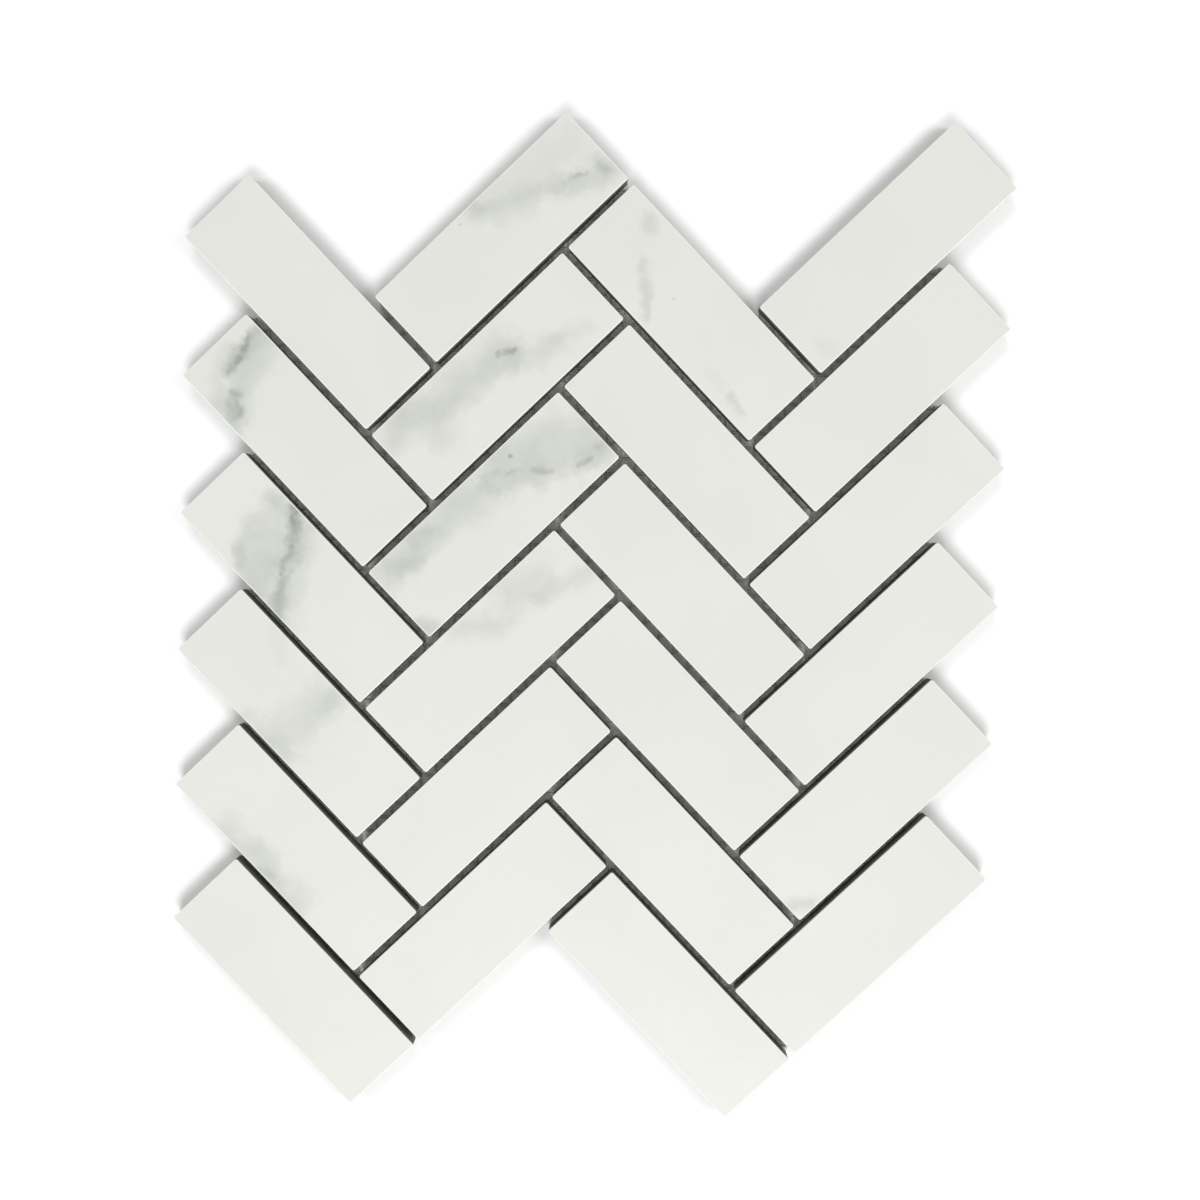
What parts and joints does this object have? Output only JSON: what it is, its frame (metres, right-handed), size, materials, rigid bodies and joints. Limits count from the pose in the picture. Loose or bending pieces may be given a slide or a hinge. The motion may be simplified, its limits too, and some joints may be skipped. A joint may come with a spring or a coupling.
{
  "type": "herringbone mosaic tile sheet",
  "caption": "Flat sheet of white marble-look porcelain chips laid in herringbone with open grout joints on a backing mesh, with stepped edges that nest into the next sheet.",
  "frame": {"origin": "middle of the sheet's outline, on the plane under the backing mesh", "axes": "+Z out of the decorated face, +Y up the columns of chips, +X to the right across them"},
  "size_m": [0.2748, 0.3356, 0.0065],
  "materials": {
    "chip_porcelain": "matt white porcelain with soft grey marble veins",
    "backing_mesh": "off-white coated glass-fibre yarn"
  },
  "bodies": {
    "root": {"chip_a1": "chip_porcelain", "chip_a2": "chip_porcelain", "chip_a3": "chip_porcelain", "chip_a4": "chip_porcelain", "chip_a5": "chip_porcelain", "chip_a6": "chip_porcelain", "chip_b1": "chip_porcelain", "chip_b2": "chip_porcelain", "chip_b3": "chip_porcelain", "chip_b4": "chip_porcelain", "chip_b5": "chip_porcelain", "chip_b6": "chip_porcelain", "chip_c1": "chip_porcelain", "chip_c2": "chip_porcelain", "chip_c3": "chip_porcelain", "chip_c4": "chip_porcelain", "chip_c5": "chip_porcelain", "chip_c6": "chip_porcelain", "chip_d1": "chip_porcelain", "chip_d2": "chip_porcelain", "chip_d3": "chip_porcelain", "chip_d4": "chip_porcelain", "chip_d5": "chip_porcelain", "chip_d6": "chip_porcelain", "warp_threads": "backing_mesh", "weft_threads": "backing_mesh"}
  },
  "joints": []
}
